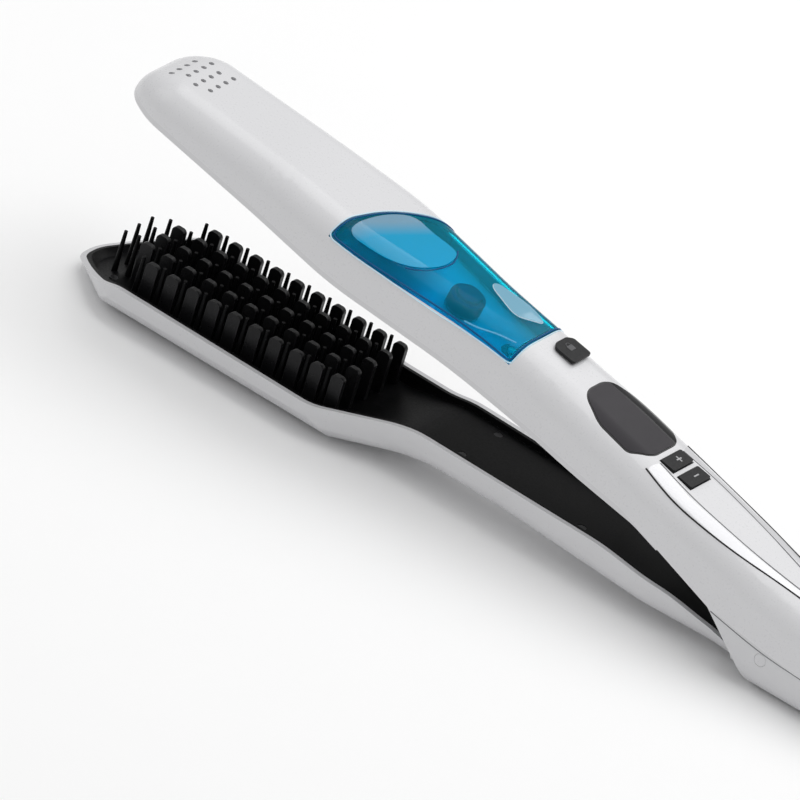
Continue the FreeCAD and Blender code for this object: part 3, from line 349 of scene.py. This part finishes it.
# ---------------------------------------------------------------- thin pieces laid on a surface
EDGE_ERROR = 0.01                        # how closely an edge is found, in mm
FARTHEST = 70.0                          # beyond the edge of the piece, from its middle, in mm
SHEET_HEIGHT = 40                        # level of a flat sheet before it is laid down, in mm
RINGS = (0.96, 0.82, 0.76, 0.67, 0.5)    # size of each ring in a sheet, as a share of the one round it
HAIRLINE = 1e-7                          # a ring's width before it gets its size, in metres


def meet(node, start, way):
    """The place where a straight line first meets a dressed piece, or None where it passes by."""
    hit, place = dressed[node].ray_cast(start, way)[:2]
    return place if hit else None


def drop(node, u, v):
    """The place on top of a dressed piece, straight in from outside the upper arm."""
    return meet(node, upper(u, v, CLEAR), -OUTWARD)


def lay(node, line):
    """The places on top of a dressed piece along a line."""
    return [drop(node, u, v) for u, v in line]


def side(node, u, w, turn):
    """The place on a dressed piece's side at the given height, seen from that side."""
    return meet(node, upper(u, CLEAR * turn, w), Vector((0, -turn, 0)))


def thread(name, places, width, material, body, closed=False):
    """A thin round bead through the given places, past any that missed their piece."""
    places = [place for place in places if place is not None]
    curve = bpy.data.curves.new(name, "CURVE")
    curve.dimensions = "3D"
    curve.bevel_depth = width / 2 * MM
    curve.bevel_resolution = 2
    curve.resolution_u = 6
    curve.use_fill_caps = True
    spline = curve.splines.new("NURBS")
    spline.points.add(len(places) - 1)
    for point, place in zip(spline.points, places):
        point.co = (*place, 1)
    spline.use_cyclic_u = closed
    spline.use_endpoint_u = not closed
    spline.order_u = 3
    line = bpy.data.objects.new(name, curve)
    bpy.context.scene.collection.objects.link(line)
    take(line)
    bpy.ops.object.convert(target="MESH")
    bpy.ops.object.shade_smooth()
    return settle(bpy.context.active_object, name, material, body)


def outline(node, middle, inset, count):
    """Corners just inside the edge of a dressed piece, as seen from outside the upper arm."""
    def corner(angle, reach):
        return middle[0] + reach * math.cos(angle), middle[1] + reach * math.sin(angle)

    corners = []
    for step in range(count):
        angle = 2 * math.pi * (step + 0.5) / count
        near, far = 0.0, FARTHEST
        while far - near > EDGE_ERROR:
            reach = (near + far) / 2
            if drop(node, *corner(angle, reach)) is None:
                far = reach
            else:
                near = reach
        corners.append(corner(angle, near - inset))
    return corners


def rounded(corners):
    """The same outline with its corners cut off twice over, so that it runs smoothly."""
    for _ in range(2):
        cut = []
        for first, second in zip(corners, corners[1:] + corners[:1]):
            for share in (0.25, 0.75):
                cut.append(tuple(a + (b - a) * share for a, b in zip(first, second)))
        corners = cut
    return corners


def face_outwards(sheet):
    edit(sheet)
    bpy.ops.mesh.normals_make_consistent(inside=False)
    done()


def delete_corners(sheet, missed):
    """Take the corners with the given numbers out of a sheet."""
    edit(sheet)
    bpy.ops.mesh.select_mode(type="VERT")
    bpy.ops.mesh.select_all(action="DESELECT")
    done()
    for index in missed:
        sheet.data.vertices[index].select = True
    bpy.ops.object.mode_set(mode="EDIT")
    bpy.ops.mesh.delete(type="VERT")
    done()


def patch(name, corners, node, thick, lift, material, body):
    """A thin sheet with the given outline that follows the surface under it."""
    middle = sum((upper(u, v, SHEET_HEIGHT) for u, v in corners), Vector()) / len(corners)
    bpy.ops.object.select_all(action="DESELECT")
    bpy.ops.mesh.primitive_circle_add(vertices=len(corners), radius=0.01, fill_type="NGON", location=middle)
    sheet = bpy.context.active_object
    fix_place()
    for vertex, (u, v) in zip(sheet.data.vertices, corners):
        vertex.co = upper(u, v, SHEET_HEIGHT)
    edit(sheet)
    for share in RINGS:
        bpy.ops.mesh.inset(thickness=HAIRLINE)
        bpy.ops.transform.resize(value=(share, share, share), center_override=middle)
    bpy.ops.mesh.poke()
    bpy.ops.mesh.select_all(action="SELECT")
    bpy.ops.mesh.quads_convert_to_tris()
    bpy.ops.mesh.subdivide(number_cuts=2)
    done()
    missed = []
    for vertex in sheet.data.vertices:
        place = meet(node, vertex.co, -OUTWARD)
        if place is None:
            missed.append(vertex.index)
        else:
            vertex.co = place + OUTWARD * lift * MM
    if missed:
        delete_corners(sheet, missed)
    face_outwards(sheet)
    modify(sheet, "SOLIDIFY", thickness=thick * MM, offset=0)
    face_outwards(sheet)
    smooth(sheet, 40)
    return settle(sheet, name, material, body)


# ---------------------------------------------------------------- water tank
TANK_MIDDLE = (-141, 0)                  # along and across, in mm from the pivot
RIM_CORNERS = 220
RIM_INSET = 0.35                         # from the tank's edge in to its dark rim line, painted shade, in mm
BAY_INSET = -0.55                        # from the tank's edge out to the shell's painted highlight line, in mm
BAY_STEP = 2.5                           # places farther than this from the rim lie down in the bay, in mm

window = rounded([
    (-173.6, -18.0), (-164.8, -17.4), (-157.7, -15.8), (-150.9, -12.3), (-147.6, -5.0), (-148.0, 2.6),
    (-150.1, 6.2), (-159.5, 5.6), (-167.2, 6.9), (-172.2, -1.7), (-174.1, -12.8),
])
patch("tank_window", window, "water_tank", 0.4, 0.12, window_clear, "tank")
window_rear = [(-154.0, -14.6), (-150.6, -12.7), (-147.9, -7.5), (-147.0, -2.0), (-147.7, 3.0), (-150.0, 6.6)]
# a dark line along the window's rear edge: painted shade
thread("tank_window_shade_edge", lay("water_tank", window_rear), 0.5, rim_painted_shade, "tank")

label = rounded([
    (-134.6, 3.4), (-134.6, 6.3), (-129.3, 7.0), (-121.6, 8.0), (-114.9, 5.4), (-117.9, 2.8), (-122.0, -1.0),
    (-128.6, 1.2),
])
patch("tank_label_plate", label, "water_tank", 0.4, 0.08, label_clear, "tank")
# a pale line round the label plate: painted highlight
thread("tank_label_highlight", lay("water_tank", label), 0.45, rim_painted_highlight, "tank", closed=True)

step_line = [(-130.4, -13.9), (-127.5, -13.4), (-124.0, -12.4), (-120.0, -10.9), (-114.7, -9.6)]
thread("tank_step_line", lay("water_tank", step_line), 0.55, line_blue, "tank")

# a dark line just inside the tank's edge: painted shade
rim = lay("water_tank", outline("water_tank", TANK_MIDDLE, RIM_INSET, RIM_CORNERS))
thread("tank_rim", rim, 0.6, rim_painted_shade, "tank", closed=True)
# a pale line on the shell just outside the tank: painted highlight along the shell's edge
bay_highlight_places = lay("upper_shell", outline("water_tank", TANK_MIDDLE, BAY_INSET, RIM_CORNERS))
bay_highlight = [place for place, beside in zip(bay_highlight_places, rim)
           if place and (place - beside).length < BAY_STEP * MM]
thread("tank_bay_highlight", bay_highlight, 0.5, rim_painted_highlight, "handle", closed=True)

# ---------------------------------------------------------------- display
LENS_MIDDLE = (-76, 0)                   # along and across, in mm from the pivot
SCREEN_SIDE = 5.8                        # the screen's straight left side, in mm from the brush's middle

# grey patch inside the black lens: the screen's grey and a painted reflection; the far strip stays black
# where the lens curves away
screen = [(u, min(v, SCREEN_SIDE)) for u, v in outline("display_lens", LENS_MIDDLE, 0.55, 60)]
patch("display_screen", screen, "display_lens", 0.16, 0.05, screen_grey_and_reflection, "handle")

# ---------------------------------------------------------------- signs on the buttons and the lock
SIGN_LENGTH, SIGN_WIDTH = 2.4, 0.5       # a bar of a button's sign, in mm
SIGN_HEIGHT, CROSSBAR_HEIGHT = 0.24, 0.22
SIGN_ACROSS = 0.8                        # the signs' place across the brush, in mm
SHACKLE_STEPS = 8


def bar(place, long, wide, tall, turned=False):
    """A small raised bar with rounded edges, its long side across the brush or, if turned, along it."""
    sizes = (long, wide, tall) if turned else (wide, long, tall)
    bpy.ops.object.select_all(action="DESELECT")
    bpy.ops.mesh.primitive_cube_add(size=1, location=(0, 0, 0))
    piece = bpy.context.active_object
    piece.scale = [size * MM for size in sizes]
    fix_place()
    modify(piece, "BEVEL", width=min(wide, tall) * 0.3 * MM, segments=3)
    piece.rotation_euler = (0, OPEN, 0)
    piece.location = place
    fix_place()
    return piece


def join(pieces):
    bpy.ops.object.select_all(action="DESELECT")
    for piece in pieces:
        piece.select_set(True)
    bpy.context.view_layer.objects.active = pieces[0]
    bpy.ops.object.join()
    return bpy.context.active_object


plus_top = drop("plus_button", -57.3, SIGN_ACROSS)
plus_sign = join([
    bar(plus_top, SIGN_LENGTH, SIGN_WIDTH, SIGN_HEIGHT),
    bar(plus_top, SIGN_LENGTH, SIGN_WIDTH, CROSSBAR_HEIGHT, turned=True),
])
smooth(plus_sign)
settle(plus_sign, "plus_sign", sign_light, "plus")
minus_top = drop("minus_button", -50.2, SIGN_ACROSS)
minus_sign = bar(minus_top, SIGN_LENGTH, SIGN_WIDTH, SIGN_HEIGHT)
smooth(minus_sign)
settle(minus_sign, "minus_sign", sign_light, "minus")

lock_top = drop("tank_lock", -103.9, 3.6)
lock_body = bar(lock_top, 2.6, 2.0, SIGN_HEIGHT)
shackle = []
for step in range(SHACKLE_STEPS + 1):
    angle = math.pi * step / SHACKLE_STEPS
    reach = 1.0 + math.sin(angle)
    shackle.append(lock_top + (ALONG * -reach + Vector((0, 0.85 * math.cos(angle), 0))) * MM)
thread("lock_shackle", shackle, 0.3, sign_faint, "lock")
smooth(lock_body)
settle(lock_body, "lock_mark", sign_faint, "lock")

# ---------------------------------------------------------------- painted shadow lines beside the trims, trim grooves and seams
LINE_GAP = 0.35                          # from a trim's edge to the line beside it (the painted shadow line outside, the groove inside), in mm
SEAM_HALF = 0.2                          # from the seam's middle up or down to a shell, in mm

trim_outer = [
    (-60.6, 10.6), (-54, 11.45), (-46, 11.85), (-36, 11.35), (-24, 10.2), (-10, 7.7), (2, 5.9), (8, 5.0),
]
trim_inner = [
    (-59.2, 6.4), (-52, 7.1), (-44, 7.5), (-34, 7.1), (-22, 6.4), (-8, 4.6), (2, 3.3), (8, 2.6),
]
handle_seam = [(-20.5, 2.35), (-10, 2.15), (2, 2.5), (15, 3.95), (30, 5.15), (45, 6.35), (60.5, 7.6)]

for name, turn in SIDES:
    # a black bead along each trim's outer edge: painted shadow in the gap beside the trim
    gap_shadow_line = lay("upper_shell", [(u, (v + LINE_GAP) * turn) for u, v in trim_outer])
    thread(f"{name}_trim_gap_shadow", gap_shadow_line, 0.55, gap_shadow_black, "handle")
    inner_line = lay("upper_shell", [(u, (v - LINE_GAP) * turn) for u, v in trim_inner])
    thread(f"{name}_trim_groove", inner_line, 0.34, line_grey, "handle")
    seam = [side("upper_shell", u, w + SEAM_HALF, turn) or side("handle_lower_shell", u, w - SEAM_HALF, turn)
            for u, w in handle_seam]
    thread(f"{name}_handle_seam", seam, 0.34, line_grey, "handle")

# ---------------------------------------------------------------- caps over the pivot pin
CAP_RADIUS, CAP_DEPTH = 1.95, 1.2        # in mm
CAP_SINK = 0.58                          # from the cheek's surface in to the cap's middle, in mm
CHEEK = 2.6                              # how far from the pin the cheek's surface is felt, in mm

for name, turn in SIDES:
    front, back, low = (side("handle_lower_shell", u, w, turn)
                        for u, w in ((-CHEEK, 0), (CHEEK, 0), (0, -CHEEK)))
    middle = (front + back) / 2
    facing = (front - back).cross(low - middle).normalized()
    if facing.y * turn < 0:
        facing.negate()
    bpy.ops.object.select_all(action="DESELECT")
    bpy.ops.mesh.primitive_cylinder_add(vertices=40, radius=CAP_RADIUS * MM, depth=CAP_DEPTH * MM,
                                        location=middle - facing * CAP_SINK * MM,
                                        rotation=facing.to_track_quat("Z", "Y").to_euler())
    cap = bpy.context.active_object
    modify(cap, "BEVEL", width=0.12 * MM, segments=2, limit_method="ANGLE")
    smooth(cap)
    settle(cap, f"{name}_pin_cap", pearl_shaded, "handle")

# ---------------------------------------------------------------- camera
camera_place = Vector((3.35565, -6.87774, 4.40304))
right = Vector((0.79070776, 0.55570417, 0.25685427))
up = Vector((-0.47558635, 0.29339495, 0.82929912))
backward = Vector((0.38548524, -0.77788963, 0.49627498))
camera_data = bpy.data.cameras.new("camera")
camera_data.lens = 1368.0
camera_data.sensor_width = 36
camera_data.clip_end = 100
camera = bpy.data.objects.new("camera", camera_data)
bpy.context.scene.collection.objects.link(camera)
turned = Matrix((right, up, backward)).transposed().to_4x4()
camera.matrix_world = Matrix.Translation(camera_place) @ turned
bpy.context.scene.camera = camera

# ---------------------------------------------------------------- floor and light
LIT_PLACE = Vector((-0.03, 0, 0.03))     # where both lamps point

bpy.ops.object.select_all(action="DESELECT")
bpy.ops.mesh.primitive_plane_add(size=6, location=(0, 0, 0))
floor = bpy.context.active_object
floor.name = "floor"
floor.data.materials.append(finish("paper", (0.97, 0.97, 0.97), 0.8, shade=0.995, bump=0.0))

world = bpy.data.worlds.new("studio")
bpy.context.scene.world = world
world.use_nodes = True
sky = world.node_tree.nodes["Background"]
sky.inputs["Color"].default_value = (1, 1, 1, 1)
sky.inputs["Strength"].default_value = 0.51


def softbox(name, place, size, power):
    light = bpy.data.lights.new(name, "AREA")
    light.shape = "SQUARE"
    light.size = size
    light.energy = power
    lamp = bpy.data.objects.new(name, light)
    bpy.context.scene.collection.objects.link(lamp)
    lamp.location = place
    lamp.rotation_euler = (LIT_PLACE - Vector(place)).to_track_quat("-Z", "Y").to_euler()


softbox("top_light", (0.15, 0.4, 1.25), 1.6, 13.0)
softbox("front_light", (-0.9, -0.5, 0.9), 0.7, 1.2)
bpy.context.scene.view_settings.view_transform = "Standard"
